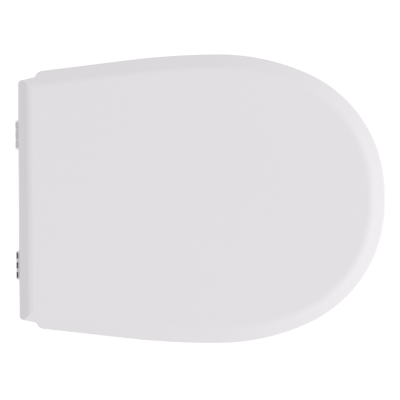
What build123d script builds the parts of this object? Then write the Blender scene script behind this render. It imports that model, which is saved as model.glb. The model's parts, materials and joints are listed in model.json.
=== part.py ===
"""Toilet seat: a lid and a ring on two screw-on hinges, with the studs that hold them to the bowl.

Millimetres. The origin is midway between the two stud axes, on the bowl's surface.
+Z is up, the hinge axis runs along X, and the front of the seat points to -Y.
Each hinge is drawn on the +X side and mirrored to the other.
"""

from build123d import *
from math import atan2, cos, degrees, hypot, radians, sin, sqrt, tan
import os

# Lid board
LID_LENGTH = 448.0
LID_WIDTH = 353.0
LID_THICKNESS = 18.0
WIDEST_SHARE = 0.5437
FLANK_ANGLE = 6.7
FLANK_RADIUS = 945.0
SIDE_ARC_END = 24.7
NOSE_ARC_START = 86.8
NOSE_FULLNESS = 1.96
TAB_DEPTH = 20.5
TAB_STEP = 9.0
TAB_FLARE = 13.0
TAB_CORNER = 5.0
SHOULDER_RADIUS = 10.0
NOOK_RADIUS = 3.0
RIM_BEVEL_WIDTH = 17.3
RIM_BEVEL_ANGLE = 26.0
RIM_CREASE_RADIUS = 16.0
BACK_BEVEL_WIDTH = 13.8
BACK_BEVEL_ANGLE = 28.0
BACK_CREASE_RADIUS = 14.0
LID_EDGE_ROUND = 2.5

# Seat ring
RING_THICKNESS = 20.0
RING_INSET = 2.0
RING_SIDE_WIDTH = 62.0
RING_FRONT_WIDTH = 62.0
CROSSBAR_WIDTH = 74.0
RING_BACK_CORNER = 15.0
RING_OUTER_ROUND = 6.0
RING_INNER_ROUND = 12.0
RING_UNDER_ROUND = 4.0

# Heights
RING_LIFT = 10.0
LID_GAP = 5.0
LID_TO_BARREL = 0.5

# Hinge barrel
STUD_SPACING = 160.0
HINGE_SETBACK = 15.0
LID_BACK_OVERHANG = 2.0
RING_SETBACK = 22.5
BARREL_RADIUS = 6.5
POST_KNUCKLE_LENGTH = 7.4
LEAF_KNUCKLE_LENGTH = 6.8
SPACER_THICKNESS = 4.5
SPACER_RADIUS = 6.2
CAP_LENGTH = 4.2
CAP_LAND = 1.0
CAP_TIP_RADIUS = 2.5
CAP_ROUND = 1.2
CAP_ROOF = 1.5
PIN_RADIUS = 3.0

# Hinge post
GASKET_THICKNESS = 1.5
GASKET_RADIUS = 14.0
FLANGE_RADIUS = 13.0
FLANGE_HEIGHT = 3.0
FLANGE_ROUND = 1.5
BOSS_RADIUS = 6.0
BOSS_HEIGHT = 9.5
BOSS_ROUND = 1.2
BOSS_ROOF = 2.0
NECK_BACK_ANGLE = 37.0
NECK_FRONT_ANGLE = 14.0
NECK_ROUND = 1.2
NECK_ROOT = 4.0

# Hinge leaves
LID_LEAF_THICKNESS = 2.5
RING_LEAF_THICKNESS = 3.0
LEAF_LENGTH = 38.0
LEAF_CORNER = 6.0
LEAF_EDGE_ROUND = 0.8
LID_LEAF_START = 9.0
RING_LEAF_BEND = 1.0

# Leaf screws
SCREW_RADIUS = 2.0
SCREW_HEAD_RADIUS = 4.0
SCREW_HEAD_LAND = 0.3
SCREW_BITE = 10.5
SCREW_POINT = 2.5
SCREW_TIP_RADIUS = 0.3
SCREW_SLOT_LENGTH = 4.6
SCREW_SLOT_WIDTH = 0.9
SCREW_SLOT_DEPTH = 1.1
SCREW_ROW_SPACING = 18.0
SCREW_FIRST_ROW = 9.0
SCREW_SECOND_ROW = 28.0

# Buffers
RING_BUFFER_LENGTH = 36.0
RING_BUFFER_WIDTH = 14.0
RING_BUFFER_ROUND = 2.5
RING_STEM_SPACING = 18.0
LID_BUFFER_RADIUS = 7.0
LID_BUFFER_ROUND = 1.2
STEM_RADIUS = 2.5
STEM_LENGTH = 7.0
FRONT_BUFFER_ANGLE = 42.0
BACK_BUFFER_ANGLE = 138.0
LID_BUFFER_ANGLE = 62.0

# Studs and their fixings under the bowl's ledge
LEDGE_THICKNESS = 22.0
STUD_RADIUS = 3.0
STUD_THREAD_RADIUS = 2.675
STUD_TIP = 1.0
STUD_PROTRUSION = 9.0
SHANK_END_GAP = 3.0
CONE_HEIGHT = 7.0
CONE_TIP_RADIUS = 6.5
CONE_BASE_RADIUS = 9.5
CONE_FLANGE_RADIUS = 13.0
CONE_FLANGE_HEIGHT = 3.0
WASHER_RADIUS = 10.0
WASHER_THICKNESS = 1.5
NUT_HEIGHT = 9.0
NUT_BASE_RADIUS = 7.0
NUT_TOP_RADIUS = 5.5
WING_SPAN = 36.0
WING_HEIGHT = 16.0
WING_THICKNESS = 3.0
WING_ROOT = 2.0
WING_TIP_WIDTH = 9.0
WING_ROUND = 4.0
WING_EDGE_ROUND = 1.0

# Clearances
RUNNING_FIT = 0.05
FIXED_FIT = 0.02
SIDE_PLAY = 0.1
HOLE_FIT = 0.3
BUFFER_GAP = 0.3
END_GAP = 0.5
TRIM = 4.0

# Places that follow from the sizes above
RING_BOTTOM = RING_LIFT
RING_TOP = RING_BOTTOM + RING_THICKNESS
LID_BOTTOM = RING_TOP + LID_GAP
LID_TOP = LID_BOTTOM + LID_THICKNESS
AXIS_Z = LID_BOTTOM - LID_TO_BARREL - BARREL_RADIUS
AXIS_Y = HINGE_SETBACK
LID_BACK = AXIS_Y + LID_BACK_OVERHANG
WIDEST_FROM_BACK = LID_LENGTH * WIDEST_SHARE
FRONT_LENGTH = LID_LENGTH - WIDEST_FROM_BACK
RING_BACK = AXIS_Y - RING_SETBACK
HINGE_X = STUD_SPACING / 2
LEAF_INNER = POST_KNUCKLE_LENGTH / 2 + SPACER_THICKNESS + SIDE_PLAY
LEAF_OUTER = LEAF_INNER + LEAF_KNUCKLE_LENGTH
BARREL_HALF = LEAF_OUTER + SIDE_PLAY
POST_BASE = GASKET_THICKNESS
BOSS_TOP = POST_BASE + FLANGE_HEIGHT + BOSS_HEIGHT
LID_LEAF_BACK = AXIS_Y - LID_LEAF_START
STUD_TOP = BOSS_TOP - BOSS_ROOF - END_GAP
SHANK_LENGTH = LEDGE_THICKNESS - CONE_HEIGHT - SHANK_END_GAP
CONE_BOTTOM = -LEDGE_THICKNESS - CONE_FLANGE_HEIGHT
NUT_SEAT = CONE_BOTTOM - WASHER_THICKNESS
STUD_BOTTOM = NUT_SEAT - NUT_HEIGHT - STUD_PROTRUSION
THREAD_HOLE = STUD_THREAD_RADIUS + FIXED_FIT
RING_CENTRE_Y = LID_BACK - WIDEST_FROM_BACK
APERTURE_HALF_WIDTH = LID_WIDTH / 2 - RING_INSET - RING_SIDE_WIDTH
APERTURE_FRONT = FRONT_LENGTH - RING_INSET - RING_FRONT_WIDTH
APERTURE_BACK = WIDEST_FROM_BACK - (LID_BACK - RING_BACK) - CROSSBAR_WIDTH


def arc(centre, radius, start, end):
    """An arc seen from above, its angles counted from +X towards the front."""
    return CenterArc((centre[0], LID_BACK - centre[1]), radius, -start, start - end)


def front_radii():
    """Radii of the side, corner and nose arcs of the outline, seen from above.

    The side arc turns from 0 to SIDE_ARC_END, the corner arc to NOSE_ARC_START and the nose arc to 90
    degrees. An ellipse would have 1 for NOSE_FULLNESS. The runs of the three arcs add up to the half
    width across and to the front length forwards, which gives two equations for the other two radii.
    """
    side, nose = radians(SIDE_ARC_END), radians(NOSE_ARC_START)
    half_width = LID_WIDTH / 2
    nose_radius = NOSE_FULLNESS * half_width**2 / FRONT_LENGTH
    across_left = half_width - nose_radius * cos(nose)
    forward_left = FRONT_LENGTH - nose_radius * (1 - sin(nose))
    side_across, side_forward = 1 - cos(side), sin(side)
    corner_across, corner_forward = cos(side) - cos(nose), sin(nose) - sin(side)
    scale = side_across * corner_forward - corner_across * side_forward
    side_radius = (across_left * corner_forward - corner_across * forward_left) / scale
    corner_radius = (side_across * forward_left - across_left * side_forward) / scale
    return side_radius, corner_radius, nose_radius


def rim_arcs(grow):
    """The arcs of the right half of the outline, grown outwards, from the flank to the midline."""
    side_radius, corner_radius, nose_radius = front_radii()
    side_x = LID_WIDTH / 2 - side_radius
    turn, reach = radians(SIDE_ARC_END), side_radius - corner_radius
    corner = (side_x + reach * cos(turn), WIDEST_FROM_BACK + reach * sin(turn))
    flank = (LID_WIDTH / 2 - FLANK_RADIUS, WIDEST_FROM_BACK)
    return [
        arc(flank, FLANK_RADIUS + grow, -FLANK_ANGLE, 0),
        arc((side_x, WIDEST_FROM_BACK), side_radius + grow, 0, SIDE_ARC_END),
        arc(corner, corner_radius + grow, SIDE_ARC_END, NOSE_ARC_START),
        arc((0, LID_LENGTH - nose_radius), nose_radius + grow, NOSE_ARC_START, 90),
    ]


def flank_point(distance, grow):
    """Where the straight flank, grown outwards, is at a distance from the lid's back edge."""
    flank_end = rim_arcs(grow)[0] @ 0
    y = LID_BACK - distance
    return flank_end.X - (y - flank_end.Y) * tan(radians(FLANK_ANGLE)), y


def board_face(start, grow):
    """The board's outline from a start distance to the nose, grown outwards, with a straight back edge."""
    rim = rim_arcs(grow)
    back = flank_point(start, grow)
    half = [Line((0, back[1]), back), Line(back, rim[0] @ 0), *rim]
    return make_face(Curve() + half + [mirror(edge, about=Plane.YZ) for edge in half])


def corners_at(face, y):
    """The vertices of a flat face that lie on the line at y."""
    return [v for v in face.vertices() if abs(v.Y - y) < 1e-4]


def prism(face, low, high):
    """A flat face drawn at z = 0, extruded from one height to another."""
    return extrude(Pos(0, 0, low) * face, high - low)


def across(face_yz, x_low, x_high):
    """A face drawn in (y, z) as (x, y), stood up and extruded along X."""
    plane = Plane(origin=(x_low, 0, 0), x_dir=(0, 1, 0), z_dir=(1, 0, 0))
    return extrude(plane * face_yz, x_high - x_low)


def rod(radius, low, high):
    """An upright cylinder on the Z axis between two heights."""
    return Pos(0, 0, (low + high) / 2) * Cylinder(radius, high - low)


def barrel(radius, x_low, x_high):
    """A cylinder on the hinge axis between two distances from the hinge's middle."""
    return Pos(HINGE_X + x_low, AXIS_Y, AXIS_Z) * Rot(0, 90, 0) * rod(radius, 0, x_high - x_low)


def turned(profile):
    """A solid turned about Z from an (r, z) outline that starts and ends on the axis."""
    return revolve(Plane.XZ * make_face(Polyline(*profile, close=True)), Axis.Z)


def pair(shape):
    """A solid and its mirror image on the other side, as (left, right)."""
    return mirror(shape, about=Plane.YZ), shape


def tab_half_width(distance):
    """Half the width of the tab at a distance from the lid's back edge."""
    return flank_point(0, 0)[0] - TAB_STEP + distance * tan(radians(TAB_FLARE))


def lid_footprint():
    """The lid's outline seen from above: the board and the narrower tab behind it."""
    shoulder_y = LID_BACK - TAB_DEPTH
    board = board_face(TAB_DEPTH, 0)
    board = fillet(corners_at(board, shoulder_y), SHOULDER_RADIUS)
    reach = TAB_DEPTH + SHOULDER_RADIUS
    back, front = tab_half_width(0), tab_half_width(reach)
    tab = make_face(Polyline(
        (-back, LID_BACK), (back, LID_BACK),
        (front, LID_BACK - reach), (-front, LID_BACK - reach), close=True,
    ))
    tab = fillet(corners_at(tab, LID_BACK), TAB_CORNER)
    whole = board + tab
    nooks = [v for v in whole.vertices() if is_nook(v)]
    return fillet(nooks, NOOK_RADIUS)


def is_nook(vertex):
    """Whether a vertex of the lid's outline is where the tab's side meets the shoulder."""
    distance = LID_BACK - vertex.Y
    inside = TAB_CORNER < distance < TAB_DEPTH + SHOULDER_RADIUS
    return inside and abs(abs(vertex.X) - tab_half_width(distance)) < 1e-3


def rim_edges(face):
    """The edges of a board's flat face without its straight back edge."""
    return face.edges().sort_by(Axis.Y)[:-1]


def bevelled_board():
    """An oversize board with the soft bevel that runs round the flanks and the nose."""
    board = prism(board_face(-TRIM, TRIM), LID_BOTTOM, LID_TOP)
    top = board.faces().sort_by(Axis.Z)[-1]
    width = RIM_BEVEL_WIDTH + TRIM
    board = chamfer(rim_edges(top), width, width * tan(radians(RIM_BEVEL_ANGLE)), reference=top)
    return fillet(rim_edges(board.faces().sort_by(Axis.Z)[-1]), RIM_CREASE_RADIUS)


def back_bevel_cutter():
    """What the straight bevel takes off the back: a crease, a slope and the round of the back edge."""
    slope = radians(BACK_BEVEL_ANGLE)
    down = (cos(slope), -sin(slope))
    crease = (LID_BACK - BACK_BEVEL_WIDTH, LID_TOP)
    edge = (LID_BACK, LID_TOP - BACK_BEVEL_WIDTH * tan(slope))
    crease_run = BACK_CREASE_RADIUS * tan(slope / 2)
    edge_run = LID_EDGE_ROUND * tan((radians(90) - slope) / 2)
    start = (crease[0] - crease_run, LID_TOP)
    slope_start = (crease[0] + crease_run * down[0], LID_TOP + crease_run * down[1])
    slope_end = (edge[0] - edge_run * down[0], edge[1] - edge_run * down[1])
    end = (LID_BACK, edge[1] - edge_run)
    behind, above = LID_BACK + TRIM, LID_TOP + TRIM
    outline = Curve() + [
        TangentArc(start, slope_start, tangent=(1, 0)),
        Line(slope_start, slope_end),
        TangentArc(slope_end, end, tangent=down),
        Polyline(end, (behind, end[1]), (behind, above), (start[0], above), start),
    ]
    return across(make_face(outline), -LID_WIDTH, LID_WIDTH)


def upper_edges(board):
    """The edges where a board's upright walls meet its upper faces."""
    walls = [f for f in board.faces() if abs(f.normal_at(f.center()).Z) < 1e-3]
    edges = ShapeList(edge for wall in walls for edge in wall.edges())
    raised = [e for e in edges if (e @ 0.5).Z > LID_BOTTOM + 1e-3]
    return [e for e in raised if abs((e % 0.5).Z) < 0.9]


def lid_board():
    """The lid's board with every edge rounded, before its holes."""
    board = bevelled_board() & prism(lid_footprint(), LID_BOTTOM, LID_TOP)
    board = fillet(upper_edges(board), LID_EDGE_ROUND)
    board -= back_bevel_cutter()
    return fillet(board.faces().sort_by(Axis.Z)[0].edges(), LID_EDGE_ROUND)


def make_lid():
    """The lid, with the holes for its leaf screws and buffer stems."""
    lid = lid_board()
    for hole in lid_screw_places():
        lid -= hole * screw_body(LID_LEAF_THICKNESS, FIXED_FIT)
    for place in lid_buffer_places():
        lid -= place * rod(STEM_RADIUS + FIXED_FIT, LID_BOTTOM, LID_BOTTOM + STEM_LENGTH + END_GAP)
    return lid


def aperture():
    """The ring's oval opening: two half ellipses that share their width."""
    centre = (0, RING_CENTRE_Y)
    return make_face(Curve() + [
        EllipticalCenterArc(centre, APERTURE_HALF_WIDTH, APERTURE_BACK, 0, arc_size=180),
        EllipticalCenterArc(centre, APERTURE_HALF_WIDTH, APERTURE_FRONT, 180, arc_size=180),
    ])


def ring_board():
    """The ring's board with every edge rounded, before its holes."""
    outline = board_face(LID_BACK - RING_BACK, -RING_INSET)
    outline = fillet(corners_at(outline, RING_BACK), RING_BACK_CORNER)
    ring = prism(outline, RING_BOTTOM, RING_TOP)
    ring = fillet(ring.faces().sort_by(Axis.Z)[-1].edges(), RING_OUTER_ROUND)
    ring = fillet(ring.faces().sort_by(Axis.Z)[0].edges(), RING_UNDER_ROUND)
    ring -= prism(aperture(), RING_BOTTOM, RING_TOP)
    ring = fillet(ring.faces().sort_by(Axis.Z)[-1].inner_wires()[0].edges(), RING_INNER_ROUND)
    return fillet(ring.faces().sort_by(Axis.Z)[0].inner_wires()[0].edges(), RING_UNDER_ROUND)


def make_ring():
    """The seat ring, with the holes for its leaf screws and buffer stems."""
    ring = ring_board()
    for hole in ring_screw_places():
        ring -= hole * screw_body(RING_LEAF_THICKNESS, FIXED_FIT)
    for place in ring_buffer_places():
        for stem in ring_stems(FIXED_FIT, END_GAP):
            ring -= place * stem
    return ring


def mid_ring_place(angle, side):
    """A place on the ring's mid line, turned along it. Angle 0 is the nose, 90 the widest point."""
    half_width = APERTURE_HALF_WIDTH + RING_SIDE_WIDTH / 2
    front = APERTURE_FRONT + RING_FRONT_WIDTH / 2
    back = APERTURE_BACK + CROSSBAR_WIDTH / 2
    length = front if angle < 90 else back
    turn = radians(angle)
    x, y = half_width * sin(turn), RING_CENTRE_Y - length * cos(turn)
    along = degrees(atan2(length * sin(turn), half_width * cos(turn)))
    return Pos(side * x, y, 0) * Rot(0, 0, side * along)


def ring_buffer_places():
    angles = (FRONT_BUFFER_ANGLE, BACK_BUFFER_ANGLE)
    return [mid_ring_place(angle, side) for angle in angles for side in (-1, 1)]


def lid_buffer_places():
    return [mid_ring_place(LID_BUFFER_ANGLE, side) for side in (-1, 1)]


def ring_stems(fit, extra):
    """The two stems that hold a ring buffer in the ring's underside, or their holes."""
    stem = rod(STEM_RADIUS + fit, RING_BOTTOM, RING_BOTTOM + STEM_LENGTH + extra)
    return [Pos(side * RING_STEM_SPACING / 2, 0, 0) * stem for side in (-1, 1)]


def make_ring_buffer():
    """A long rubber foot between the ring and the bowl, rounded below, with two stems."""
    foot = prism(SlotOverall(RING_BUFFER_LENGTH, RING_BUFFER_WIDTH), 0, RING_BOTTOM)
    foot = fillet(foot.faces().sort_by(Axis.Z)[0].edges(), RING_BUFFER_ROUND)
    for stem in ring_stems(0, 0):
        foot += stem
    return foot


def make_lid_buffer():
    """A round rubber stop under the lid, a hair above the ring, with one stem."""
    stop = rod(LID_BUFFER_RADIUS, RING_TOP + BUFFER_GAP, LID_BOTTOM)
    stop = fillet(stop.faces().sort_by(Axis.Z)[0].edges(), LID_BUFFER_ROUND)
    return stop + rod(STEM_RADIUS, LID_BOTTOM, LID_BOTTOM + STEM_LENGTH)


def screw_body(leaf_thickness, grow):
    """A countersunk wood screw without its slot, pointing up from z = 0, or its hole."""
    head_end = SCREW_HEAD_LAND + SCREW_HEAD_RADIUS - SCREW_RADIUS
    tip = leaf_thickness + SCREW_BITE
    shank, head = SCREW_RADIUS + grow, SCREW_HEAD_RADIUS + grow
    return turned((
        (0, 0), (head, 0), (head, SCREW_HEAD_LAND + grow), (shank, head_end + grow),
        (shank, tip - SCREW_POINT), (SCREW_TIP_RADIUS + grow, tip + grow), (0, tip + grow),
    ))


def make_screw(leaf_thickness):
    """A countersunk wood screw with a cross slot."""
    slot = Box(SCREW_SLOT_LENGTH, SCREW_SLOT_WIDTH, 2 * SCREW_SLOT_DEPTH)
    return screw_body(leaf_thickness, 0) - slot - Rot(0, 0, 90) * slot


def screw_pattern(back_y, z):
    """Places of the three screws of each leaf: two abreast, then one on the leaf's mid line."""
    spots = [(-SCREW_ROW_SPACING / 2, SCREW_FIRST_ROW), (SCREW_ROW_SPACING / 2, SCREW_FIRST_ROW)]
    spots.append((0, SCREW_SECOND_ROW))
    return [Pos(side * HINGE_X + x, back_y - ahead, z) for side in (-1, 1) for x, ahead in spots]


def lid_screw_places():
    return screw_pattern(LID_LEAF_BACK, LID_BOTTOM - LID_LEAF_THICKNESS)


def ring_screw_places():
    return screw_pattern(RING_BACK, RING_BOTTOM - RING_LEAF_THICKNESS)


def leaf_plate(back_y, low, high):
    """A leaf's flat plate on the hinge's mid line, with round front corners and a round lower edge."""
    front_y = back_y - LEAF_LENGTH
    outline = make_face(Polyline(
        (-LEAF_OUTER, back_y), (LEAF_OUTER, back_y),
        (LEAF_OUTER, front_y), (-LEAF_OUTER, front_y), close=True,
    ))
    outline = fillet(corners_at(outline, front_y), LEAF_CORNER)
    plate = prism(outline, low, high)
    return Pos(HINGE_X, 0, 0) * fillet(plate.faces().sort_by(Axis.Z)[0].edges(), LEAF_EDGE_ROUND)


def rounded_sides(bar):
    """A bar that runs across X, with the edges of its two side faces rounded."""
    return fillet(bar.faces().filter_by(Axis.X).edges(), LEAF_EDGE_ROUND)


def with_bore(leaf):
    """A leaf with the bore that runs on the hinge pin."""
    return leaf - barrel(PIN_RADIUS + RUNNING_FIT, -BARREL_HALF, BARREL_HALF)


def make_lid_leaf():
    """The leaf under the lid: a plate, a strap at its outer side and a knuckle."""
    low = LID_BOTTOM - LID_LEAF_THICKNESS
    strap = make_face(Polyline(
        (LID_LEAF_BACK - LEAF_CORNER, low), (LID_LEAF_BACK - LEAF_CORNER, LID_BOTTOM),
        (AXIS_Y - BARREL_RADIUS / 2, LID_BOTTOM), (AXIS_Y, AXIS_Z + BARREL_RADIUS),
        (AXIS_Y, low), close=True,
    ))
    leaf = leaf_plate(LID_LEAF_BACK, low, LID_BOTTOM)
    leaf += rounded_sides(across(strap, HINGE_X + LEAF_INNER, HINGE_X + LEAF_OUTER))
    leaf += barrel(BARREL_RADIUS, LEAF_INNER, LEAF_OUTER)
    for place in lid_screw_places():
        leaf -= place * screw_body(LID_LEAF_THICKNESS, FIXED_FIT)
    return with_bore(leaf)


def make_ring_leaf():
    """The leaf of the ring: a plate below it, a web up behind it, an arm and a knuckle."""
    thick = RING_LEAF_THICKNESS
    low = RING_BOTTOM - thick
    bend = make_face(Polyline(
        (RING_BACK - LEAF_CORNER, low), (RING_BACK + thick, low),
        (RING_BACK + thick, AXIS_Z - thick / 2), (AXIS_Y, AXIS_Z - thick / 2),
        (AXIS_Y, AXIS_Z + thick / 2), (RING_BACK, AXIS_Z + thick / 2),
        (RING_BACK, RING_BOTTOM), (RING_BACK - LEAF_CORNER, RING_BOTTOM), close=True,
    ))
    outer = [(RING_BACK + thick, low), (RING_BACK, AXIS_Z + thick / 2)]
    inner = [(RING_BACK + thick, AXIS_Z - thick / 2)]
    bend = fillet(vertices_at(bend, outer), RING_LEAF_BEND + thick / 2)
    bend = fillet(vertices_at(bend, inner), RING_LEAF_BEND)
    leaf = leaf_plate(RING_BACK, low, RING_BOTTOM)
    leaf += rounded_sides(across(bend, HINGE_X - LEAF_OUTER, HINGE_X - LEAF_INNER))
    leaf += barrel(BARREL_RADIUS, -LEAF_OUTER, -LEAF_INNER)
    for place in ring_screw_places():
        leaf -= place * screw_body(RING_LEAF_THICKNESS, FIXED_FIT)
    return with_bore(leaf)


def vertices_at(face, points):
    """The vertices of a flat face that lie on the given points."""
    found = face.vertices()
    return [v for v in found for x, y in points if hypot(v.X - x, v.Y - y) < 1e-4]


def post_neck():
    """The post's leaning neck, from the boss over the stud up to the barrel."""
    half = POST_KNUCKLE_LENGTH / 2
    depth = sqrt(BOSS_RADIUS**2 - half**2)
    back, front = radians(NECK_BACK_ANGLE), radians(NECK_FRONT_ANGLE)
    outline = make_face(Polyline(
        (AXIS_Y, AXIS_Z),
        (AXIS_Y - BARREL_RADIUS * cos(back), AXIS_Z - BARREL_RADIUS * sin(back)),
        (depth, BOSS_TOP), (depth, BOSS_TOP - NECK_ROOT),
        (-depth, BOSS_TOP - NECK_ROOT), (-depth, BOSS_TOP),
        (AXIS_Y - BARREL_RADIUS * cos(front), AXIS_Z + BARREL_RADIUS * sin(front)), close=True,
    ))
    neck = across(outline, HINGE_X - half, HINGE_X + half)
    return fillet([edge for edge in neck.edges() if climbs_from_boss(edge)], NECK_ROUND)


def climbs_from_boss(edge):
    """Whether an edge of the neck runs from the boss's top up to the barrel."""
    low, high = sorted(((edge @ 0).Z, (edge @ 1).Z))
    return abs(low - BOSS_TOP) < 1e-4 and high > AXIS_Z - BARREL_RADIUS


def make_post():
    """The cast hinge post: foot, boss over the stud, neck and centre knuckle."""
    foot_top = POST_BASE + FLANGE_HEIGHT
    foot = rod(FLANGE_RADIUS, POST_BASE, foot_top)
    foot = fillet(foot.faces().sort_by(Axis.Z)[-1].edges(), FLANGE_ROUND)
    boss = rod(BOSS_RADIUS, POST_BASE, BOSS_TOP)
    boss = fillet(boss.faces().sort_by(Axis.Z)[-1].edges(), BOSS_ROUND)
    half = POST_KNUCKLE_LENGTH / 2
    post = Pos(HINGE_X, 0, 0) * (foot + boss) + post_neck() + barrel(BARREL_RADIUS, -half, half)
    post -= barrel(PIN_RADIUS + FIXED_FIT, -half, half)
    return post - Pos(HINGE_X, 0, 0) * rod(THREAD_HOLE, POST_BASE, STUD_TOP + END_GAP)


def dome():
    """The tapered end of the barrel, turned about Z from z = 0 up."""
    cone = turned((
        (0, 0), (BARREL_RADIUS, 0), (BARREL_RADIUS, CAP_LAND),
        (CAP_TIP_RADIUS, CAP_LENGTH), (0, CAP_LENGTH),
    ))
    return fillet(cone.edges().filter_by(GeomType.CIRCLE).sort_by(Axis.Z)[1:], CAP_ROUND)


def make_pin():
    """The hinge pin: a rod with its domed head at the inner end of the barrel."""
    head = Pos(HINGE_X - BARREL_HALF, AXIS_Y, AXIS_Z) * Rot(0, -90, 0) * dome()
    return head + barrel(PIN_RADIUS, -BARREL_HALF, BARREL_HALF + CAP_LENGTH - CAP_ROOF - END_GAP)


def make_cap():
    """The cap pressed on the pin's outer end."""
    cap = Pos(HINGE_X + BARREL_HALF, AXIS_Y, AXIS_Z) * Rot(0, 90, 0) * dome()
    return cap - barrel(PIN_RADIUS + FIXED_FIT, BARREL_HALF, BARREL_HALF + CAP_LENGTH - CAP_ROOF)


def make_spacers():
    """The nylon washers on each side of the post's knuckle."""
    half = POST_KNUCKLE_LENGTH / 2
    ring = barrel(SPACER_RADIUS, half, half + SPACER_THICKNESS)
    ring -= barrel(PIN_RADIUS + FIXED_FIT, half, half + SPACER_THICKNESS)
    return [ring, Pos(-POST_KNUCKLE_LENGTH - SPACER_THICKNESS, 0, 0) * ring]


def make_gasket():
    """The soft ring between the post's foot and the bowl."""
    ring = rod(GASKET_RADIUS, 0, GASKET_THICKNESS)
    ring -= rod(STUD_RADIUS + HOLE_FIT, 0, GASKET_THICKNESS)
    return Pos(HINGE_X, 0, 0) * ring


def make_stud():
    """The stud: threaded into the post, plain through the bowl's ledge, threaded for the nut."""
    return Pos(HINGE_X, 0, 0) * turned((
        (0, STUD_TOP), (STUD_THREAD_RADIUS - STUD_TIP, STUD_TOP),
        (STUD_THREAD_RADIUS, STUD_TOP - STUD_TIP), (STUD_THREAD_RADIUS, 0), (STUD_RADIUS, 0),
        (STUD_RADIUS, -SHANK_LENGTH), (STUD_THREAD_RADIUS, -SHANK_LENGTH),
        (STUD_THREAD_RADIUS, STUD_BOTTOM + STUD_TIP),
        (STUD_THREAD_RADIUS - STUD_TIP, STUD_BOTTOM), (0, STUD_BOTTOM),
    ))


def make_cone():
    """The rubber cone that centres the stud in the bowl's hole."""
    body = turned((
        (0, CONE_HEIGHT - LEDGE_THICKNESS), (CONE_TIP_RADIUS, CONE_HEIGHT - LEDGE_THICKNESS),
        (CONE_BASE_RADIUS, -LEDGE_THICKNESS), (CONE_FLANGE_RADIUS, -LEDGE_THICKNESS),
        (CONE_FLANGE_RADIUS, CONE_BOTTOM), (0, CONE_BOTTOM),
    ))
    return Pos(HINGE_X, 0, 0) * (body - rod(THREAD_HOLE, CONE_BOTTOM, 0))


def make_washer():
    """The flat steel washer under the cone."""
    disc = rod(WASHER_RADIUS, NUT_SEAT, CONE_BOTTOM)
    return Pos(HINGE_X, 0, 0) * (disc - rod(STUD_RADIUS + HOLE_FIT, NUT_SEAT, CONE_BOTTOM))


def make_nut():
    """The wing nut that draws the stud down."""
    end = NUT_SEAT - NUT_HEIGHT
    hub = turned(((0, NUT_SEAT), (NUT_BASE_RADIUS, NUT_SEAT), (NUT_TOP_RADIUS, end), (0, end)))
    tip_x, tip_z = WING_SPAN / 2, NUT_SEAT - WING_HEIGHT
    outline = make_face(Polyline(
        (0, NUT_SEAT - WING_ROOT), (NUT_TOP_RADIUS, NUT_SEAT - WING_ROOT),
        (tip_x, tip_z + WING_TIP_WIDTH), (tip_x, tip_z), (tip_x - WING_TIP_WIDTH, tip_z),
        (NUT_TOP_RADIUS, end), (0, end), close=True,
    ))
    tips = [(tip_x, tip_z + WING_TIP_WIDTH), (tip_x, tip_z), (tip_x - WING_TIP_WIDTH, tip_z)]
    outline = fillet(vertices_at(outline, tips), WING_ROUND)
    wing = extrude(Plane.XZ * outline, WING_THICKNESS / 2, both=True)
    wing = fillet(wing.faces().filter_by(Axis.Y).edges(), WING_EDGE_ROUND)
    nut = hub + wing + mirror(wing, about=Plane.YZ)
    return Pos(HINGE_X, 0, 0) * (nut - rod(THREAD_HOLE, end, NUT_SEAT))


def main():
    os.makedirs("parts", exist_ok=True)
    lid_screw, ring_screw = make_screw(LID_LEAF_THICKNESS), make_screw(RING_LEAF_THICKNESS)
    lid_buffer, ring_buffer = make_lid_buffer(), make_ring_buffer()
    groups = {
        "lid_screws": [place * lid_screw for place in lid_screw_places()],
        "ring_screws": [place * ring_screw for place in ring_screw_places()],
        "lid_buffers": [place * lid_buffer for place in lid_buffer_places()],
        "ring_buffers": [place * ring_buffer for place in ring_buffer_places()],
        "hinge_washers": [washer for spacer in make_spacers() for washer in pair(spacer)],
    }
    nodes = {name: Compound(children=solids) for name, solids in groups.items()}
    nodes["lid"], nodes["seat_ring"] = make_lid(), make_ring()
    mirrored = {
        "lid_leaf": make_lid_leaf(), "ring_leaf": make_ring_leaf(), "hinge_post": make_post(),
        "hinge_pin": make_pin(), "pin_cap": make_cap(), "base_gasket": make_gasket(),
        "mounting_stud": make_stud(), "cone_washer": make_cone(), "flat_washer": make_washer(),
        "wing_nut": make_nut(),
    }
    for name, shape in mirrored.items():
        nodes[f"left_{name}"], nodes[f"right_{name}"] = pair(shape)
    for name, shape in nodes.items():
        export_step(shape, f"parts/{name}.step")


if __name__ == "__main__":
    main()
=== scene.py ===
"""Toilet seat: finishes for boards, hinges and fixings, threaded studs, and the studio around them."""

import json
import math

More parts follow.
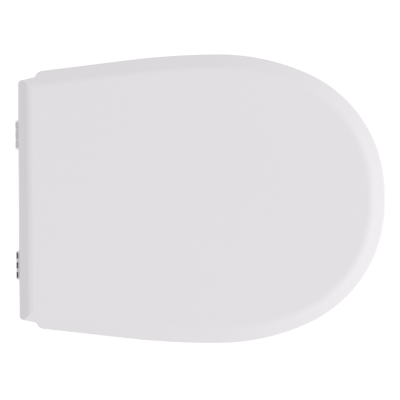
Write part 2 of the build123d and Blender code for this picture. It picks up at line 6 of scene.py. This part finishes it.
import bpy
import numpy as np
from bpy.props import FloatProperty, FloatVectorProperty, IntProperty, PointerProperty
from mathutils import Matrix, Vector


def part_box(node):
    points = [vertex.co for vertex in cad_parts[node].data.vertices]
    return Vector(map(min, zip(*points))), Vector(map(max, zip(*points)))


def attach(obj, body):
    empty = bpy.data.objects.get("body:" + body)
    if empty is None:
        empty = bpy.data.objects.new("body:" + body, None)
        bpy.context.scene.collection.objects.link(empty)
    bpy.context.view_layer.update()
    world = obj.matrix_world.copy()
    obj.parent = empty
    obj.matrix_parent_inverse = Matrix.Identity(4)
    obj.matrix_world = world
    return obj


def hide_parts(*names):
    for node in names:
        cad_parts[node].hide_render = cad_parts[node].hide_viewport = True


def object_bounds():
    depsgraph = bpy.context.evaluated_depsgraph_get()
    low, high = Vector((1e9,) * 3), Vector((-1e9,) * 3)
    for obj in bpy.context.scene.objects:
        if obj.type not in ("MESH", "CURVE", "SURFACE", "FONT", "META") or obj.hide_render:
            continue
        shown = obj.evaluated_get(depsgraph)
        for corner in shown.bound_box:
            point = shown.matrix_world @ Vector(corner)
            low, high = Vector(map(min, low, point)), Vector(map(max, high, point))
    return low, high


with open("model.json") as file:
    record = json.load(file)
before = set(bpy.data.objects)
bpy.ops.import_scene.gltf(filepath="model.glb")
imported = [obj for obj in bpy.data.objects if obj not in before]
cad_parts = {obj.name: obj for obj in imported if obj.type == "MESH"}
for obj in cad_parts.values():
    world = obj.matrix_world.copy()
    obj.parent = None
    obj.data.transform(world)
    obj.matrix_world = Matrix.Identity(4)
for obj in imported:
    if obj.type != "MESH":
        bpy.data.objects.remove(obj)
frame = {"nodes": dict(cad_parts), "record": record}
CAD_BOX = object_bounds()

bl_info = {
    "name": "Toilet seat finishes",
    "version": (1, 0, 0),
    "blender": (4, 5, 0),
    "location": "View3D > Sidebar > Toilet seat",
    "description": "Finishes, threaded studs, light and camera for a toilet seat with two hinges",
    "category": "Object",
}

HINGE_BODY = "hinge_posts"
SIDES = ("left", "right")
EDGE_SAMPLES = 6
NO_TRIANGLES = np.zeros((0, 3), int)


def colour(name, description, value):
    """A property that holds a colour."""
    return FloatVectorProperty(
        name=name, description=description, default=value, size=3, min=0.0, max=1.0, subtype="COLOR"
    )


def share(name, description, value):
    """A property that holds a share from 0 to 1."""
    return FloatProperty(
        name=name, description=description, default=value, min=0.0, max=1.0, subtype="FACTOR"
    )


def length(name, description, value):
    """A property that holds a length in metres."""
    return FloatProperty(
        name=name, description=description, default=value, min=0.0, precision=6, unit="LENGTH"
    )


def angle(name, description, degrees):
    """A property that holds an angle, with its default given in degrees."""
    return FloatProperty(
        name=name, description=description, default=math.radians(degrees), subtype="ANGLE"
    )


class SeatCoat(bpy.types.PropertyGroup):
    """The white coat of the lid and the ring."""

    tone: colour("Tone", "White of the resin coat", (0.775, 0.752, 0.775))
    drift: share("Tone drift", "How much the white varies over the board", 0.012)
    drift_size: length("Drift size", "Width of the paler and darker areas", 0.09)
    roughness: share("Roughness", "Mean roughness of the coat", 0.18)
    marks: share("Wipe marks", "How much wiping changes the roughness", 0.05)
    mark_size: length("Mark size", "Width of the wipe marks", 0.035)
    peel_size: length("Ripple size", "Distance between the ripples of the sprayed coat", 0.0045)
    peel_depth: length("Ripple depth", "Height of the ripples of the sprayed coat", 0.000012)
    gloss: share("Gloss", "Weight of the clear layer on the coat", 0.5)
    gloss_roughness: share("Gloss roughness", "Roughness of the clear layer", 0.07)


class SeatMetal(bpy.types.PropertyGroup):
    """The chromed hinges and the zinc plated fixings."""

    chrome_tone: colour("Chrome", "Reflected tone of the chromed metal", (0.72, 0.714, 0.724))
    chrome_drift: share("Chrome drift", "How much the chrome's tone varies", 0.03)
    chrome_drift_size: length("Chrome drift size", "Width of the chrome's paler and darker areas", 0.006)
    chrome_roughness: share("Chrome roughness", "Mean roughness of the chrome", 0.07)
    chrome_marks: share("Chrome marks", "How much handling changes the roughness", 0.06)
    chrome_mark_size: length("Chrome mark size", "Width of the handling marks", 0.008)
    polish_size: length("Polish size", "Distance between the waves left by polishing", 0.002)
    polish_depth: length("Polish depth", "Height of the waves left by polishing", 0.000002)
    zinc_tone: colour("Zinc", "Reflected tone of the zinc plate", (0.52, 0.53, 0.55))
    zinc_drift: share("Zinc drift", "How much the plate's tone varies", 0.22)
    spangle: length("Spangle", "Size of the plate's pale and dark specks", 0.0016)
    zinc_roughness: share("Zinc roughness", "Mean roughness of the zinc plate", 0.36)
    zinc_marks: share("Zinc marks", "How much the plate's roughness varies", 0.16)
    zinc_mark_size: length("Zinc mark size", "Width of the plate's rougher areas", 0.0064)
    zinc_grain_size: length("Zinc grain size", "Distance between the grains of the plate", 0.000533)
    zinc_grain_depth: length("Zinc grain depth", "Height of the grains of the plate", 0.0000107)
    edge_round: length("Edge round", "Radius of the softened edges", 0.0003)


class SeatPlastic(bpy.types.PropertyGroup):
    """The rubber buffers, gaskets and cones, and the nylon washers."""

    pale_tone: colour("Pale rubber", "Tone of the buffers and gaskets", (0.66, 0.66, 0.645))
    dark_tone: colour("Dark rubber", "Tone of the cone washers", (0.022, 0.022, 0.024))
    nylon_tone: colour("Nylon", "Tone of the hinge washers", (0.68, 0.665, 0.67))
    drift: share("Tone drift", "How much the tone varies", 0.06)
    drift_size: length("Drift size", "Width of the paler and darker areas", 0.01)
    rubber_roughness: share("Rubber roughness", "Mean roughness of the rubber", 0.62)
    nylon_roughness: share("Nylon roughness", "Mean roughness of the nylon", 0.4)
    marks: share("Marks", "How much the roughness varies", 0.12)
    mark_size: length("Mark size", "Width of the rougher areas", 0.006)
    grain_size: length("Grain size", "Distance between the grains of the moulded skin", 0.0007)
    grain_depth: length("Grain depth", "Height of the grains of the moulded skin", 0.00002)


class StudThread(bpy.types.PropertyGroup):
    """The thread of the two mounting studs."""

    crest: length("Crest radius", "Outer radius of the thread and radius of the plain shank", 0.003)
    root: length("Root radius", "Radius at the bottom of the thread", 0.00248)
    flat: share("Crest flat", "Width of the crest as a share of the pitch", 0.2)
    pitch: length("Pitch", "Distance from one turn to the next", 0.001)
    shank: length("Shank", "Length of the plain part below the bowl's surface", 0.012)
    tip: length("Tip", "Length of the taper at each end", 0.001)
    around: IntProperty(name="Around", description="Points round the stud", default=36, min=12)
    per_turn: IntProperty(name="Per turn", description="Points along one turn", default=10, min=6)


class StageSettings(bpy.types.PropertyGroup):
    """Light, floor and camera."""

    frame_width: length("Frame width", "Width that the picture shows at the lid's rim", 0.4896)
    rim_height: length("Rim height", "Height at which the frame width is measured", 0.042)
    lens: FloatProperty(name="Lens", description="Focal length in millimetres", default=300.0, min=10.0)
    aim: FloatVectorProperty(
        name="Aim", description="Point of the seat at the picture's middle", size=2,
        default=(-0.00145, -0.2046), precision=5, unit="LENGTH",
    )
    roll: angle("Roll", "Turn of the picture", 0.4)
    fill: FloatProperty(name="Fill", description="Strength of the even light", default=0.882, min=0.0)
    key: FloatProperty(
        name="Key", description="Power of the soft box in front", default=74.0, unit="POWER"
    )
    key_size: length("Key size", "Width of the soft box", 1.6)
    key_place: FloatVectorProperty(
        name="Key place", description="Middle of the soft box", size=3,
        default=(-1.058, -4.44, 1.131), unit="LENGTH",
    )
    card_radius: length("Card radius", "Distance of the card from the hinges that it bends round", 0.06)
    card_width: length("Card width", "Width of the card", 0.7)
    card_foot: angle("Card foot", "How far the card reaches below the hinges", 80.0)
    card_head: angle("Card head", "How far the card reaches above the hinges", 65.0)
    card_tone: share("Card tone", "Tone of the card's dark parts", 0.1)
    card_low: share("Card low tone", "Tone of the card's low edge", 0.75)
    card_dark: angle("Card dark", "How far below the hinges the card is dark", 30.0)
    card_right: share("Card right tone", "Tone of the card's right half", 0.7)
    card_fade: length("Card fade", "Length of the fade from the left to the right half", 0.06)
    card_stripe: share("Card stripe tone", "Tone of the paler stripe above the hinges", 0.85)
    card_rise: angle("Card rise", "How far above the hinges the stripe starts to turn pale", 8.0)
    card_band: angle("Card band", "How far above the hinges the stripe is palest", 33.0)
    card_pale: angle("Card pale", "How far above the hinges the card is dark again", 44.0)
    card_white: angle("Card white", "How far above the hinges the card starts to turn white", 56.0)
    card_side: length("Card side", "How far the card is dark on each side of a hinge", 0.018)
    card_end: length("Card end", "How far beside a hinge the card has turned white", 0.05)
    card_narrow: angle("Card narrow", "How far above the hinges the dark part starts to widen", 15.0)
    card_wide: angle("Card wide", "How far above the hinges the card is dark from end to end", 35.0)
    card_near: length("Card near", "Distance under which the card fades from what mirrors it", 0.045)
    card_far: length("Card far", "Distance from which the card fades from what mirrors it", 0.064)
    card_lost: length("Card lost", "Distance from which nothing mirrors the card", 0.095)
    floor_drop: length("Floor drop", "Room under the seat for the lid to swing right round", 0.07)
    floor_size: length("Floor size", "Width of the floor", 40.0)
    floor_tone: colour("Floor", "Tone of the floor", (0.68, 0.68, 0.68))
    floor_glow: share("Floor glow", "White that the camera sees besides the floor's own light", 0.84)
    floor_shade: share("Floor shade", "How much of the seat's shadow the camera sees", 0.33)


def require(condition, message):
    """Stops the script with a message, because a cancelled operator would not."""
    if not condition:
        raise RuntimeError(message)


def new_group(name, inputs, outputs):
    """An empty shader node group with named float or colour sockets, and its end nodes."""
    tree = bpy.data.node_groups.new(name, "ShaderNodeTree")
    for socket, kind in inputs:
        tree.interface.new_socket(socket, in_out="INPUT", socket_type=kind)
    for socket, kind in outputs:
        tree.interface.new_socket(socket, in_out="OUTPUT", socket_type=kind)
    return tree, tree.nodes.new("NodeGroupInput"), tree.nodes.new("NodeGroupOutput")


def math_node(tree, operation, first, second):
    """A math node whose inputs are numbers or sockets, as its output socket."""
    node = tree.nodes.new("ShaderNodeMath")
    node.operation = operation
    for socket, value in zip(node.inputs, (first, second)):
        if isinstance(value, (int, float)):
            socket.default_value = value
        else:
            tree.links.new(value, socket)
    return node.outputs[0]


def noise(tree, size, detail, stretch=(1.0, 1.0, 1.0)):
    """Noise on object coordinates with features of a size in metres, as a value about 0.5."""
    coordinates = tree.nodes.new("ShaderNodeTexCoord")
    mapping = tree.nodes.new("ShaderNodeMapping")
    mapping.inputs["Scale"].default_value = stretch
    texture = tree.nodes.new("ShaderNodeTexNoise")
    texture.inputs["Detail"].default_value = detail
    tree.links.new(coordinates.outputs["Object"], mapping.inputs["Vector"])
    tree.links.new(mapping.outputs["Vector"], texture.inputs["Vector"])
    tree.links.new(math_node(tree, "DIVIDE", 1.0, size), texture.inputs["Scale"])
    return texture.outputs["Fac"]


def tone_drift_group():
    """Darkens a colour by up to Amount where soft noise of a given Size is high."""
    tree, start, end = new_group(
        "Tone drift",
        (("Colour", "NodeSocketColor"), ("Amount", "NodeSocketFloat"), ("Size", "NodeSocketFloat")),
        (("Colour", "NodeSocketColor"),),
    )
    patches = noise(tree, start.outputs["Size"], detail=3.0)
    loss = math_node(tree, "MULTIPLY", patches, start.outputs["Amount"])
    mix = tree.nodes.new("ShaderNodeMix")
    mix.data_type = "RGBA"
    tree.links.new(loss, mix.inputs["Factor"])
    tree.links.new(start.outputs["Colour"], mix.inputs["A"])
    mix.inputs["B"].default_value = (0.0, 0.0, 0.0, 1.0)
    tree.links.new(mix.outputs["Result"], end.inputs["Colour"])
    return tree


def handling_group():
    """Moves a roughness up and down by up to Amount, in patches and streaks of a given Size."""
    tree, start, end = new_group(
        "Handling",
        (("Roughness", "NodeSocketFloat"), ("Amount", "NodeSocketFloat"), ("Size", "NodeSocketFloat")),
        (("Roughness", "NodeSocketFloat"),),
    )
    patches = noise(tree, start.outputs["Size"], detail=2.0)
    streaks = noise(tree, start.outputs["Size"], detail=4.0, stretch=(0.35, 2.2, 1.0))
    swing = math_node(tree, "SUBTRACT", math_node(tree, "ADD", patches, streaks), 1.0)
    change = math_node(tree, "MULTIPLY", swing, start.outputs["Amount"])
    total = math_node(tree, "ADD", start.outputs["Roughness"], change)
    tree.links.new(total, end.inputs["Roughness"])
    return tree


def fine_relief_group():
    """A height from 0 to 1 made of ripples of a given Size with half as much at half the size."""
    tree, start, end = new_group(
        "Fine relief", (("Size", "NodeSocketFloat"),), (("Height", "NodeSocketFloat"),)
    )
    tree.links.new(noise(tree, start.outputs["Size"], detail=1.0), end.inputs["Height"])
    return tree


def place_group(material, name, maker, values):
    """Places a shared group in a material with its own values. Its first use makes the group."""
    node = material.node_tree.nodes.new("ShaderNodeGroup")
    node.node_tree = bpy.data.node_groups.get(name) or maker()
    for socket, value in values.items():
        node.inputs[socket].default_value = value
    return node


def new_material(name, tone, metallic):
    """A material with its Principled shader, whose plain values sit on the shader's own sockets."""
    material = bpy.data.materials.new(name)
    material.use_nodes = True
    material.diffuse_color = (*tone, 1.0)
    shader = material.node_tree.nodes["Principled BSDF"]
    shader.inputs["Metallic"].default_value = metallic
    return material, shader


def vary(material, shader, tone, drift, drift_size, roughness, marks, mark_size):
    """Links tone drift to Base Color and handling marks to Roughness."""
    links = material.node_tree.links
    tone_values = {"Colour": (*tone, 1.0), "Amount": drift, "Size": drift_size}
    tones = place_group(material, "Tone drift", tone_drift_group, tone_values)
    mark_values = {"Roughness": roughness, "Amount": marks, "Size": mark_size}
    handled = place_group(material, "Handling", handling_group, mark_values)
    links.new(tones.outputs["Colour"], shader.inputs["Base Color"])
    links.new(handled.outputs["Roughness"], shader.inputs["Roughness"])


def add_relief(material, shader, size, depth, edge_round=0.0):
    """Links fine relief of a size and depth to Normal, over edges softened to a radius."""
    nodes, links = material.node_tree.nodes, material.node_tree.links
    relief = place_group(material, "Fine relief", fine_relief_group, {"Size": size})
    bump = nodes.new("ShaderNodeBump")
    bump.inputs["Distance"].default_value = depth
    links.new(relief.outputs["Height"], bump.inputs["Height"])
    if edge_round:
        bevel = nodes.new("ShaderNodeBevel")
        bevel.samples = EDGE_SAMPLES
        bevel.inputs["Radius"].default_value = edge_round
        links.new(bevel.outputs["Normal"], bump.inputs["Normal"])
    links.new(bump.outputs["Normal"], shader.inputs["Normal"])


def nodes_of_slot(slot):
    """The objects of the CAD nodes that the record gives a material slot."""
    names = [row["node"] for row in frame["record"]["subparts"] if row["material_slot"] == slot]
    require(names, f"no node has the slot {slot}")
    return [frame["nodes"][name] for name in names]


def finish_slot(slot, material):
    """Gives a material to every CAD node of a slot."""
    for piece in nodes_of_slot(slot):
        if not piece.material_slots:
            piece.data.materials.append(material)
        for held in piece.material_slots:
            held.material = material


def zinc_material(metal):
    """Zinc plate: specks of tone, uneven roughness and softened edges."""
    found = bpy.data.materials.get("zinc_plate")
    if found:
        return found
    material, shader = new_material("zinc_plate", metal.zinc_tone, 1.0)
    vary(
        material, shader, metal.zinc_tone, metal.zinc_drift, metal.spangle,
        metal.zinc_roughness, metal.zinc_marks, metal.zinc_mark_size,
    )
    add_relief(material, shader, metal.zinc_grain_size, metal.zinc_grain_depth, metal.edge_round)
    return material


def thread_surface(thread, centre_x, top, bottom):
    """Points, quads and triangles of a threaded stud on an upright axis.

    The grid runs round the stud by angle a and along it by height z. Its radius is
    root + (crest - root) * ridge, where ridge is a flat-topped triangle wave of
    z / pitch - a / (2 pi), so the crest climbs one pitch in each turn, as on a right-hand
    thread. The shank below z = 0 has the crest's radius, and both ends are cut back to a
    taper of 45 degrees and closed by a point on the axis.
    """
    rows = int(round((top - bottom) / thread.pitch * thread.per_turn)) + 1
    turns = np.arange(thread.around) * (2 * math.pi / thread.around)
    heights = np.linspace(top, bottom, rows)
    a, z = np.meshgrid(turns, heights)
    phase = np.mod(z / thread.pitch - a / (2 * math.pi), 1.0)
    from_root = 0.5 - np.abs(phase - 0.5)
    ridge = np.clip(from_root / (0.5 - thread.flat / 2), 0.0, 1.0)
    plain = (z <= 0.0) & (z >= -thread.shank)
    radius = np.where(plain, thread.crest, thread.root + (thread.crest - thread.root) * ridge)
    from_end = np.minimum(top - z, z - bottom)
    radius = np.minimum(radius, thread.crest - thread.tip + from_end)
    points = np.stack((centre_x + radius * np.cos(a), radius * np.sin(a), z), axis=-1).reshape(-1, 3)
    column = np.arange(thread.around)
    after = np.roll(column, -1)
    start = (np.arange(rows - 1) * thread.around)[:, None]
    below = start + thread.around
    quads = np.stack((start + column, below + column, below + after, start + after), axis=-1)
    ends = np.array(((centre_x, 0.0, top), (centre_x, 0.0, bottom)))
    first, last = len(points), len(points) + 1
    base = (rows - 1) * thread.around
    upper = np.stack((np.full_like(column, first), column, after), axis=-1)
    lower = np.stack((np.full_like(column, last), base + after, base + column), axis=-1)
    return np.vstack((points, ends)), quads.reshape(-1, 4), np.vstack((upper, lower))


def new_piece(name, points, quads, triangles, material):
    """A mesh object at the origin from arrays of points, quads and triangles."""
    mesh = bpy.data.meshes.new(name)
    mesh.from_pydata(points.tolist(), [], quads.tolist() + triangles.tolist())
    mesh.update()
    mesh.materials.append(material)
    piece = bpy.data.objects.new(name, mesh)
    bpy.context.scene.collection.objects.link(piece)
    return piece


class SEAT_OT_coat_boards(bpy.types.Operator):
    """Gives the lid and the ring their white resin coat"""

    bl_idname = "seat.coat_boards"
    bl_label = "Coat the boards"

    def execute(self, context):
        coat = context.scene.seat_coat
        material, shader = new_material("white_resin_coat", coat.tone, 0.0)
        vary(
            material, shader, coat.tone, coat.drift, coat.drift_size,
            coat.roughness, coat.marks, coat.mark_size,
        )
        add_relief(material, shader, coat.peel_size, coat.peel_depth)
        shader.inputs["Coat Weight"].default_value = coat.gloss
        shader.inputs["Coat Roughness"].default_value = coat.gloss_roughness
        finish_slot("white_coat", material)
        return {"FINISHED"}


class SEAT_OT_chrome_hinges(bpy.types.Operator):
    """Gives the hinge posts, leaves, pins and caps their polished chrome"""

    bl_idname = "seat.chrome_hinges"
    bl_label = "Chrome the hinges"

    def execute(self, context):
        metal = context.scene.seat_metal
        material, shader = new_material("polished_chrome", metal.chrome_tone, 1.0)
        vary(
            material, shader, metal.chrome_tone, metal.chrome_drift, metal.chrome_drift_size,
            metal.chrome_roughness, metal.chrome_marks, metal.chrome_mark_size,
        )
        add_relief(material, shader, metal.polish_size, metal.polish_depth, metal.edge_round)
        finish_slot("chromed_metal", material)
        return {"FINISHED"}


class SEAT_OT_plate_fixings(bpy.types.Operator):
    """Gives the screws, washers and wing nuts their zinc plate"""

    bl_idname = "seat.plate_fixings"
    bl_label = "Plate the fixings"

    def execute(self, context):
        finish_slot("zinc_steel", zinc_material(context.scene.seat_metal))
        return {"FINISHED"}


class SEAT_OT_mould_rubber(bpy.types.Operator):
    """Gives the buffers, gaskets, cones and hinge washers their moulded rubber and nylon"""

    bl_idname = "seat.mould_rubber"
    bl_label = "Mould rubber and nylon"

    def execute(self, context):
        plastic = context.scene.seat_plastic
        finishes = (
            ("pale_rubber", plastic.pale_tone, plastic.rubber_roughness),
            ("dark_rubber", plastic.dark_tone, plastic.rubber_roughness),
            ("nylon", plastic.nylon_tone, plastic.nylon_roughness),
        )
        for slot, tone, roughness in finishes:
            material, shader = new_material(f"moulded_{slot}", tone, 0.0)
            vary(
                material, shader, tone, plastic.drift, plastic.drift_size,
                roughness, plastic.marks, plastic.mark_size,
            )
            add_relief(material, shader, plastic.grain_size, plastic.grain_depth)
            finish_slot(slot, material)
        return {"FINISHED"}


class SEAT_OT_thread_studs(bpy.types.Operator):
    """Makes the two mounting studs with their thread"""

    bl_idname = "seat.thread_studs"
    bl_label = "Thread the studs"

    def execute(self, context):
        material = zinc_material(context.scene.seat_metal)
        for side in SIDES:
            node = f"{side}_mounting_stud"
            low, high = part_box(node)
            surface = thread_surface(context.scene.stud_thread, (low.x + high.x) / 2, high.z, low.z)
            stud = new_piece(f"{side}_threaded_stud", *surface, material)
            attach(stud, HINGE_BODY)
            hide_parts(node)
        return {"FINISHED"}


def seen_by_eye(tree):
    """A factor that is 1 for what the camera sees, straight, mirrored or through glass."""
    path = tree.nodes.new("ShaderNodeLightPath").outputs
    mirrored = math_node(tree, "MAXIMUM", path["Is Glossy Ray"], path["Is Transmission Ray"])
    return math_node(tree, "MAXIMUM", path["Is Camera Ray"], mirrored)


def mix_shaders(tree, factor, first, second, out):
    """Mixes two shader sockets by a factor into an output's Surface."""
    mix = tree.nodes.new("ShaderNodeMixShader")
    tree.links.new(factor, mix.inputs[0])
    tree.links.new(first, mix.inputs[1])
    tree.links.new(second, mix.inputs[2])
    tree.links.new(mix.outputs[0], out.inputs["Surface"])


def stage_material(name):
    """A material with an output alone, its node tree and that output."""
    material = bpy.data.materials.new(name)
    material.use_nodes = True
    tree = material.node_tree
    tree.nodes.clear()
    return material, tree, tree.nodes.new("ShaderNodeOutputMaterial")


def floor_material(stage):
    """A pale floor. The eye sees its white glow with a part of its shaded light added."""
    material, tree, out = stage_material("pale_floor")
    paint, shade = (tree.nodes.new("ShaderNodeBsdfDiffuse") for _ in range(2))
    glow = tree.nodes.new("ShaderNodeEmission")
    shade_tone = [value * stage.floor_shade for value in stage.floor_tone]
    paint.inputs["Color"].default_value = (*stage.floor_tone, 1.0)
    shade.inputs["Color"].default_value = (*shade_tone, 1.0)
    glow.inputs["Strength"].default_value = stage.floor_glow
    total = tree.nodes.new("ShaderNodeAddShader")
    tree.links.new(shade.outputs[0], total.inputs[0])
    tree.links.new(glow.outputs[0], total.inputs[1])
    mix_shaders(tree, seen_by_eye(tree), paint.outputs[0], total.outputs[0], out)
    return material


def make_floor(stage):
    """A flat square under the seat, below the reach of the lid when it is folded right back."""
    half = stage.floor_size / 2
    x = half * np.array((-1.0, 1.0, 1.0, -1.0))
    y = half * np.array((-1.0, -1.0, 1.0, 1.0))
    z = np.full_like(x, CAD_BOX[0].z - stage.floor_drop)
    corners = np.stack((x, y, z), axis=-1)
    floor = new_piece("floor", corners, np.arange(4)[None, :], NO_TRIANGLES, floor_material(stage))


def faded(tree, place, start, end, tones):
    """A tone that goes smoothly from the first to the second between two places, as a socket."""
    fade = tree.nodes.new("ShaderNodeMapRange")
    fade.interpolation_type = "SMOOTHSTEP"
    tree.links.new(place, fade.inputs["Value"])
    values = {"From Min": start, "From Max": end, "To Min": tones[0], "To Max": tones[1]}
    for socket, value in values.items():
        fade.inputs[socket].default_value = value
    return fade.outputs["Result"]


def palest(tree, tone, *others):
    """The palest of several tones, as a socket."""
    for other in others:
        tone = math_node(tree, "MAXIMUM", tone, other)
    return tone


def hinge_place():
    """A point on the axis of the ring's hinge, from the record."""
    return frame["record"]["behaviour"]["joints"][0]["pos_m"]


def card_level(stage, turn):
    """Height of the card's arc at an angle above the hinge axis."""
    return hinge_place()[2] + stage.card_radius * math.sin(turn)


def card_bands(tree, stage, across, height):
    """The card's tones from its foot to its head.

    It has a paler low edge, then a dark stretch with a paler right half, a pale stripe above
    the hinges, a second dark stretch and a white top.
    """
    dark = stage.card_tone
    low, start, rise, band, pale, white, high = (
        card_level(stage, turn)
        for turn in (
            -stage.card_foot, -stage.card_dark, stage.card_rise, stage.card_band,
            stage.card_pale, stage.card_white, stage.card_head,
        )
    )
    half_fade = stage.card_fade / 2
    right = faded(tree, across, -half_fade, half_fade, (dark, stage.card_right))
    stripe = faded(tree, height, rise, band, (dark, stage.card_stripe))
    below = faded(tree, height, band, pale, (1.0, dark))
    patch = math_node(tree, "MINIMUM", palest(tree, right, stripe), below)
    foot = faded(tree, height, low, start, (stage.card_low, dark))
    top = faded(tree, height, white, high, (dark, 1.0))
    return palest(tree, patch, foot, top)


def card_sides(tree, stage, across, height):
    """White beside the hinges, on the lower part of the card alone."""
    dark = stage.card_tone
    low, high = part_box("right_hinge_pin")
    from_middle = math_node(tree, "ABSOLUTE", across, 0.0)
    from_hinge = math_node(tree, "SUBTRACT", from_middle, (low.x + high.x) / 2)
    from_hinge = math_node(tree, "ABSOLUTE", from_hinge, 0.0)
    beside = faded(tree, from_hinge, stage.card_side, stage.card_end, (dark, 1.0))
    narrow, wide = (card_level(stage, turn) for turn in (stage.card_narrow, stage.card_wide))
    lower = faded(tree, height, narrow, wide, (1.0, dark))
    return math_node(tree, "MINIMUM", beside, lower)


def card_reach(tree, stage):
    """White for what mirrors the card from too near or too far, by the mirrored ray's length."""
    distance = tree.nodes.new("ShaderNodeLightPath").outputs["Ray Length"]
    near = faded(tree, distance, 0.0, stage.card_near, (1.0, stage.card_tone))
    far = faded(tree, distance, stage.card_far, stage.card_lost, (stage.card_tone, 1.0))
    return palest(tree, near, far)


def card_material(stage):
    """A card that glows with the palest of its bands, its sides and its reach."""
    material, tree, out = stage_material("dark_card")
    coordinates = tree.nodes.new("ShaderNodeTexCoord")
    split = tree.nodes.new("ShaderNodeSeparateXYZ")
    tree.links.new(coordinates.outputs["Object"], split.inputs["Vector"])
    across, height = split.outputs["X"], split.outputs["Z"]
    bands = card_bands(tree, stage, across, height)
    sides = card_sides(tree, stage, across, height)
    glow = tree.nodes.new("ShaderNodeEmission")
    tree.links.new(palest(tree, bands, sides, card_reach(tree, stage)), glow.inputs["Strength"])
    tree.links.new(glow.outputs["Emission"], out.inputs["Surface"])
    return material


def card_surface(stage, points_in_arc=41):
    """Points and quads of the card: an arc behind the hinge axis, carried across X."""
    turn = np.linspace(-stage.card_foot, stage.card_head, points_in_arc)
    y = hinge_place()[1] + stage.card_radius * np.cos(turn)
    z = hinge_place()[2] + stage.card_radius * np.sin(turn)
    half = stage.card_width / 2
    left, right = (np.stack((np.full_like(y, x), y, z), axis=-1) for x in (-half, half))
    row = np.arange(points_in_arc - 1)
    across = row + points_in_arc
    quads = np.stack((row, across, across + 1, row + 1), axis=-1)
    return np.vstack((left, right)), quads


def make_card(stage):
    """A card behind the seat that shows only in mirrored light, so that the chrome has dark bands."""
    points, quads = card_surface(stage)
    card = new_piece("dark_card", points, quads, NO_TRIANGLES, card_material(stage))
    card.visible_camera = card.visible_diffuse = card.visible_shadow = False


def make_soft_box(stage):
    """A soft box in front of the seat, which lights it and is neither seen nor mirrored."""
    data = bpy.data.lights.new("soft_box", "AREA")
    data.shape = "SQUARE"
    data.size = stage.key_size
    data.energy = stage.key
    box = bpy.data.objects.new("soft_box", data)
    bpy.context.scene.collection.objects.link(box)
    box.location = stage.key_place
    aim = Vector((stage.aim[0], stage.aim[1], stage.rim_height))
    box.rotation_euler = (aim - box.location).to_track_quat("-Z", "Y").to_euler()
    box.visible_camera = box.visible_glossy = False


def make_world(stage):
    """An even light from all round, which the eye sees as a white ground."""
    world = bpy.data.worlds.new("studio")
    bpy.context.scene.world = world
    world.use_nodes = True
    tree = world.node_tree
    tree.nodes.clear()
    out = tree.nodes.new("ShaderNodeOutputWorld")
    even, white = (tree.nodes.new("ShaderNodeBackground") for _ in range(2))
    even.inputs["Strength"].default_value = stage.fill
    for light in (even, white):
        light.inputs["Color"].default_value = (1.0, 1.0, 1.0, 1.0)
    mix_shaders(tree, seen_by_eye(tree), even.outputs[0], white.outputs[0], out)


def make_camera(stage):
    """A long lens straight above, with the seat's front at the picture's right."""
    data = bpy.data.cameras.new("camera")
    data.lens = stage.lens
    camera = bpy.data.objects.new("camera", data)
    bpy.context.scene.collection.objects.link(camera)
    distance = stage.frame_width * stage.lens / data.sensor_width
    camera.location = (stage.aim[0], stage.aim[1], stage.rim_height + distance)
    camera.rotation_euler = (0.0, 0.0, -math.pi / 2 - stage.roll)
    bpy.context.scene.camera = camera


class SEAT_OT_set_stage(bpy.types.Operator):
    """Sets the floor, the card, the light and the camera"""

    bl_idname = "seat.set_stage"
    bl_label = "Set the stage"

    def execute(self, context):
        stage = context.scene.seat_stage
        for make in (make_floor, make_card, make_soft_box, make_world, make_camera):
            make(stage)
        context.scene.view_settings.view_transform = "Standard"
        return {"FINISHED"}


OPERATORS = (
    SEAT_OT_coat_boards,
    SEAT_OT_chrome_hinges,
    SEAT_OT_plate_fixings,
    SEAT_OT_mould_rubber,
    SEAT_OT_thread_studs,
    SEAT_OT_set_stage,
)
SETTINGS = {
    "seat_coat": SeatCoat,
    "seat_metal": SeatMetal,
    "seat_plastic": SeatPlastic,
    "stud_thread": StudThread,
    "seat_stage": StageSettings,
}


class SEAT_PT_finishes(bpy.types.Panel):
    """Lists the operators and the settings that they use"""

    bl_idname = "SEAT_PT_finishes"
    bl_label = "Toilet seat"
    bl_space_type = "VIEW_3D"
    bl_region_type = "UI"
    bl_category = "Toilet seat"

    def draw(self, context):
        for operator in OPERATORS:
            self.layout.operator(operator.bl_idname)
        for name, settings in SETTINGS.items():
            box = self.layout.box()
            box.label(text=settings.__doc__)
            for prop in settings.__annotations__:
                box.prop(getattr(context.scene, name), prop)


def register():
    """Registers the classes and hangs the settings on the scene."""
    for settings in SETTINGS.values():
        bpy.utils.register_class(settings)
    for name, settings in SETTINGS.items():
        setattr(bpy.types.Scene, name, PointerProperty(type=settings))
    for operator in OPERATORS:
        bpy.utils.register_class(operator)
    bpy.utils.register_class(SEAT_PT_finishes)


def unregister():
    """Undoes register."""
    bpy.utils.unregister_class(SEAT_PT_finishes)
    for operator in reversed(OPERATORS):
        bpy.utils.unregister_class(operator)
    for name, settings in SETTINGS.items():
        delattr(bpy.types.Scene, name)
        bpy.utils.unregister_class(settings)


def main():
    register()
    bpy.ops.seat.coat_boards()
    bpy.ops.seat.chrome_hinges()
    bpy.ops.seat.plate_fixings()
    bpy.ops.seat.mould_rubber()
    bpy.ops.seat.thread_studs()
    bpy.ops.seat.set_stage()


if __name__ == "__main__":
    main()
